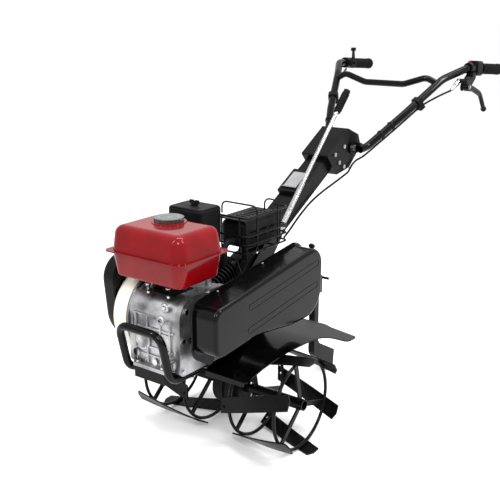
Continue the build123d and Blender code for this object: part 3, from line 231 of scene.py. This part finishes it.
def revolved(name, profile, places, mat, body, segments=36):
    """A piece made of one turned shape, repeated at each place."""
    return piece(name, to_mesh(revolve(profile, segments), name, places), mat, body)


def at(point, axis=(0, 0, 1)):
    """The place of a shape whose own Z axis points along an axis."""
    return Matrix.Translation(Vector(point)) @ turned(axis)


def hex_bolts(name, points, axis, r, body):
    """Chamfered hexagon heads on washers, all facing the same way."""
    bm = revolve([(0, 0), (r * 1.5, 0), (r * 1.5, r * 0.18), (r * 1.1, r * 0.2)], 24)
    head = revolve([(r, r * 0.15), (r, r * 0.75), (r * 0.86, r * 0.9), (0, r * 0.9)], 6)
    joined = bpy.data.meshes.new(name + "_head")
    head.to_mesh(joined)
    head.free()
    bm.from_mesh(joined)
    bpy.data.meshes.remove(joined)
    places = [at(point, axis) for point in points]
    return piece(name, to_mesh(bm, name, places, smooth=False), STEEL, body)


def wire(name, points, r, mat, body):
    """A round wire, hose or cable on a smooth line."""
    curve = bpy.data.curves.new(name, "CURVE")
    curve.dimensions = "3D"
    curve.bevel_depth = r
    curve.bevel_resolution = 5
    curve.use_fill_caps = True
    spline = curve.splines.new("NURBS")
    spline.points.add(len(points) - 1)
    for point, place in zip(spline.points, points):
        point.co = (*place, 1)
    spline.order_u = 3
    spline.use_endpoint_u = True
    spline.resolution_u = 10
    return piece(name, curve, mat, body)


def soft_block(name, low, high, r, mat, body):
    """A moulded or cast block with rounded edges."""
    low, high = Vector(low), Vector(high)
    bm = bmesh.new()
    bmesh.ops.create_cube(bm, size=1)
    size = high - low
    bmesh.ops.scale(bm, vec=size, verts=bm.verts)
    bmesh.ops.translate(bm, vec=(low + high) / 2, verts=bm.verts)
    bmesh.ops.bevel(bm, geom=bm.edges[:], offset=r, segments=4, profile=0.6, affect="EDGES")
    return piece(name, to_mesh(bm, name, [Matrix.Identity(4)]), mat, body)


def soft_plate(name, size, place, r, mat, body):
    """A flat plate with rounded edges, centred on the origin and then moved to its place."""
    bm = bmesh.new()
    bmesh.ops.create_cube(bm, size=1)
    bmesh.ops.scale(bm, vec=size, verts=bm.verts)
    upright = [edge for edge in bm.edges if abs(edge.verts[0].co.z - edge.verts[1].co.z) > 1e-6]
    bmesh.ops.bevel(bm, geom=upright, offset=r, segments=5, profile=0.5, affect="EDGES")
    return piece(name, to_mesh(bm, name, [place], smooth=False), mat, body)


# ---- Engine ----
cap_low, cap_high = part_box("fuel_cap")
cap_mid = (cap_low + cap_high) / 2
cap_r = (cap_high.x - cap_low.x) / 2
disc = [
    (cap_r * 0.84, -0.0002),
    (cap_r * 0.84, -0.00005),
    (cap_r * 0.6, 0.0),
    (cap_r * 0.58, -0.0012),
    (cap_r * 0.3, -0.0012),
    (cap_r * 0.28, 0.0),
    (0, 0.0),
]
revolved("cap_top", disc, [at((cap_mid.x, cap_mid.y, cap_high.z + 0.0003))], GREY_PLASTIC, "cap",
         48)

joints = {joint["name"]: joint for joint in frame["joints"]}
crank = Vector(joints["crank_spin"]["pos_m"])
outer_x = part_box("recoil_cover")[0].x
boss = [
    (0.036, 0),
    (0.036, 0.0016),
    (0.031, 0.0026),
    (0.017, 0.0026),
    (0.014, 0.0008),
    (0, 0.0008),
]
revolved("recoil_boss", boss, [at((outer_x + 0.0004, crank.y, crank.z), (-1, 0, 0))], PLASTIC,
         "frame")

# A lug of the tank's seam, on the machine's right.
tank_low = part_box("fuel_tank_upper")[0]
soft_block("tank_tab", (tank_low.x - 0.0005, tank_low.y + 0.05, tank_low.z - 0.0005),
           (tank_low.x + 0.012, tank_low.y + 0.078, tank_low.z + 0.0035), 0.001, RED, "frame")

# Pieces on the crankcase's front, which faces -Y.
FOOT = 0.015  # the case's feet stand out this much, so its box does too
CASE_TOP = 0.476
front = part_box("crankcase")[0].y + FOOT
FORWARD = (0, -1, 0)
studs = [(x, front + 0.012, CASE_TOP) for x in (-0.018, 0.046)]
post = [(0.0045, 0), (0.0045, 0.02), (0.007, 0.02), (0.007, 0.0255), (0.0035, 0.027), (0, 0.027)]
revolved("engine_posts", post, [at(point) for point in studs], STEEL, "frame", 18)

raised = [
    (0.0, 0),
    (0.012, 0),
    (0.012, 0.003),
    (0.009, 0.005),
    (0.0055, 0.005),
    (0.005, 0.002),
    (0, 0.002),
]
plugs = [(0.03, front - 0.0002, 0.42), (0.045, front - 0.0002, 0.455)]
revolved("case_bosses", raised, [at(point, FORWARD) for point in plugs], CAST, "frame")
hex_bolts("case_boss_bolts", [(x, y - 0.002, z) for x, y, z in plugs], FORWARD, 0.0045, "frame")

# The throttle's control plate and rod, over the case.
soft_block("control_plate", (-0.01, front - 0.004, 0.487), (0.07, front + 0.075, 0.4895), 0.001,
           FRAME_BLACK, "frame")
wire("governor_rod", [(0.05, front + 0.01, 0.4925), (0.02, front + 0.03, 0.4935),
                      (-0.02, front + 0.09, 0.4935), (-0.04, front + 0.17, 0.4945)],
     0.0016, STEEL, "frame")

# Two cast bands round the crank's axis, next to the fan housing.
BAND_WIDE = 0.0052
BAND_DEEP = 0.009
EDGE = 0.001
for x, r in ((-0.0786, 0.1045), (-0.0655, 0.1015)):
    band = [
        (r - BAND_DEEP, 0),
        (r - EDGE, 0),
        (r, EDGE),
        (r, BAND_WIDE - EDGE),
        (r - EDGE, BAND_WIDE),
        (r - BAND_DEEP, BAND_WIDE),
        (r - BAND_DEEP, 0),
    ]
    name = "case_band_%03d" % round(-x * 1000)
    place = at((x, crank.y, crank.z), (1, 0, 0))
    revolved(name, band, [place], CAST, "frame", 64)

# Upright ribs and level steps cast on the front.
RIB_HALF = 0.0022
STEP_HIGH = 0.0042
BURIED = 0.004  # how far a rib or step reaches into the wall
for n, x in enumerate((-0.048, -0.012, 0.03, 0.06)):
    low = (x - RIB_HALF, front - 0.0055, 0.304)
    high = (x + RIB_HALF, front + BURIED, 0.424)
    soft_block("case_rib_%d" % n, low, high, 0.0015, CAST, "frame")
for n, z in enumerate((0.322, 0.392)):
    low = (-0.056, front - STEP_HIGH, z)
    high = (0.072, front + BURIED, z + STEP_HIGH)
    soft_block("case_step_%d" % n, low, high, 0.0014, CAST, "frame")

# A round cover with four bolts.
ROUND_X = -0.03
ROUND_Z = 0.358
BOLT_RING = 0.021
cover_ring = [
    (0.0, 0.0035),
    (0.016, 0.0035),
    (0.018, 0.006),
    (0.024, 0.006),
    (0.0262, 0.0045),
    (0.0262, 0),
]
revolved("case_round_cover", cover_ring, [at((ROUND_X, front, ROUND_Z), FORWARD)], CAST, "frame",
         48)
round_bolts = []
for n in range(4):
    turn = radians(45 + 90 * n)
    round_bolts.append(
        (ROUND_X + BOLT_RING * cos(turn), front - 0.0058, ROUND_Z + BOLT_RING * sin(turn))
    )
hex_bolts("case_round_bolts", round_bolts, FORWARD, 0.0024, "frame")

# ---- Belt cover ----
flange_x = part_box("belt_cover")[0].x + 0.0022
flange_bolts = [
    (-0.610, 0.4862),
    (-0.430, 0.5110),
    (-0.280, 0.5316),
    (-0.640, 0.3432),
    (-0.420, 0.3455),
]
hex_bolts("cover_bolts", [(flange_x, y, z) for y, z in flange_bolts], (1, 0, 0), 0.0026, "frame")

KNOB_PLACE = (0.157, -0.2587, 0.5133)  # on the cover's upper rear edge, halfway across
knob = [(0.004, 0), (0.004, 0.006), (0.0085, 0.007), (0.0085, 0.013), (0.0065, 0.0155), (0, 0.016)]
revolved("cover_knob", knob, [at(KNOB_PLACE, (0, 1, 1))], PLASTIC, "frame")

# ---- Gear indicator ----
MAST_TILT = radians(30)
PLATE_MIDDLE = (0, -0.1026, 0.6570)  # just over the indicator's raised face
PLATE = (0.043, 0.066, 0.0012)
on_mast = Matrix.Translation(PLATE_MIDDLE) @ Matrix.Rotation(MAST_TILT, 4, "X")
soft_plate("gear_plate", PLATE, on_mast, 0.004, PLATE_GREY, "frame")
lip = Matrix.Translation((0, -PLATE[1] / 2, PLATE[2]))
soft_plate("gear_plate_edge", (0.050, 0.0035, 0.0036), on_mast @ lip, 0.001, STEEL, "frame")

# ---- Exhaust guard ----
guard_low, guard_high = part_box("wire_guard")
nut_y = [guard_low.y + share * (guard_high.y - guard_low.y) for share in (0.2, 0.45, 0.7)]
nuts = [(guard_high.x - 0.0045, y, guard_low.z + 0.0018) for y in nut_y]
hex_bolts("guard_nuts", nuts, (1, 0, 0), 0.0036, "frame")

# ---- Wheels ----
wheel_low, wheel_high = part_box("left_wheel_frame")
axle = (wheel_low + wheel_high) / 2
hub = [(0.0128, 0), (0.0146, 0.0002), (0.0146, 0.002), (0.0128, 0.0024), (0.0128, 0)]
for side, label in SIDES:
    place = at((side * (wheel_high.x - 0.003), axle.y, axle.z), (side, 0, 0))
    revolved(label + "_hub_lip", hub, [place], FRAME_BLACK, "wheels")

# ---- Handlebar ----
# The left bar's centre line, from close to the front end of its grip.
GRIP_START = Vector((0.2400, 0.6064, 0.9376))
ALONG = Vector((0.04511, 0.99655, -0.06972)).normalized()
RIDGES = 18
RIDGE_FROM = 0.012
RIDGE_PITCH = 0.0062
ridge = [(0.0158, -0.0016), (0.0174, -0.0008), (0.0174, 0.0008), (0.0158, 0.0016)]
for side, label in SIDES:
    way = Vector((side * ALONG.x, ALONG.y, ALONG.z))
    start = Vector((side * GRIP_START.x, GRIP_START.y, GRIP_START.z))
    places = [at(start + way * (RIDGE_FROM + n * RIDGE_PITCH), way) for n in range(RIDGES)]
    revolved(label + "_grip_ribs", ridge, places, RUBBER, "handlebar", 28)

LEVER_PIVOT = Vector((0.2428, 0.4907, 0.8877))
PIN_HEAD = 0.0143  # from the lever's middle to the outer face of its pin's head
head = (LEVER_PIVOT.x + PIN_HEAD, LEVER_PIVOT.y, LEVER_PIVOT.z)
hex_bolts("clutch_pivot_bolt", [head], (1, 0, 0), 0.005, "handlebar")

# A control cable on each side crosses from the mast to the arm.
for side, label in SIDES:
    points = [(side * 0.0545, 0.1130, 0.6625), (side * 0.0530, 0.1190, 0.6650),
              (side * 0.0515, 0.1330, 0.6735), (side * 0.0540, 0.1490, 0.6830),
              (side * 0.0600, 0.1640, 0.6880), (side * 0.0655, 0.1740, 0.6935)]
    line = wire(label + "_cable_bridge", points, 0.003, PLASTIC, None)
    depsgraph = bpy.context.evaluated_depsgraph_get()
    mesh = bpy.data.meshes.new_from_object(line.evaluated_get(depsgraph))
    bpy.data.objects.remove(line)
    span = piece(label + "_cable_span", mesh, PLASTIC, None)
    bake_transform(span)


# ---- Floor, light and camera ----
FLOOR_HALF = 60.0
WORLD_STRENGTH = 1.12


def lamp(name, place, aim, size, power):
    """A soft box, or a strip, that shines at a point."""
    light = bpy.data.lights.new(name, "AREA")
    light.shape = "RECTANGLE"
    light.size, light.size_y = size
    light.energy = power
    thing = bpy.data.objects.new(name, light)
    thing.location = place
    thing.rotation_euler = (Vector(aim) - Vector(place)).to_track_quat("-Z", "Y").to_euler()
    bpy.context.scene.collection.objects.link(thing)


bm = bmesh.new()
bmesh.ops.create_grid(bm, x_segments=8, y_segments=8, size=FLOOR_HALF)
floor = bpy.data.objects.new("floor", to_mesh(bm, "floor", [Matrix.Identity(4)]))
floor.data.materials.append(FLOOR)
bpy.context.scene.collection.objects.link(floor)

world = bpy.data.worlds.new("studio")
world.use_nodes = True
world.node_tree.nodes["Background"].inputs["Color"].default_value = (1, 1, 1, 1)
world.node_tree.nodes["Background"].inputs["Strength"].default_value = WORLD_STRENGTH
bpy.context.scene.world = world

lamp("key", (1.9, -2.5, 2.6), (0, -0.2, 0.4), (0.9, 0.9), 60)
lamp("side_strip", (2.3, 0.2, 2.7), (0.1, -0.3, 0.4), (0.16, 2.0), 60)
lamp("front_strip", (-0.9, -2.5, 2.7), (0, -0.3, 0.5), (0.16, 1.8), 45)
lamp("top_strip", (0.2, 0.2, 2.9), (0, -0.1, 0.5), (0.35, 2.2), 45)
bpy.context.scene.view_settings.view_transform = "Standard"  # keeps blacks and reds deep

CAMERA_PLACE = (1.3162, -2.0683, 1.1342)
AZIMUTH = radians(36.9)
ELEVATION = radians(16.2)
data = bpy.data.cameras.new("camera")
data.lens = 60.6
data.sensor_width = 36.0
camera = bpy.data.objects.new("camera", data)
camera.location = CAMERA_PLACE
sight = Vector((-sin(AZIMUTH) * cos(ELEVATION), cos(AZIMUTH) * cos(ELEVATION), -sin(ELEVATION)))
camera.rotation_euler = sight.to_track_quat("-Z", "Y").to_euler()
bpy.context.scene.collection.objects.link(camera)
bpy.context.scene.camera = camera
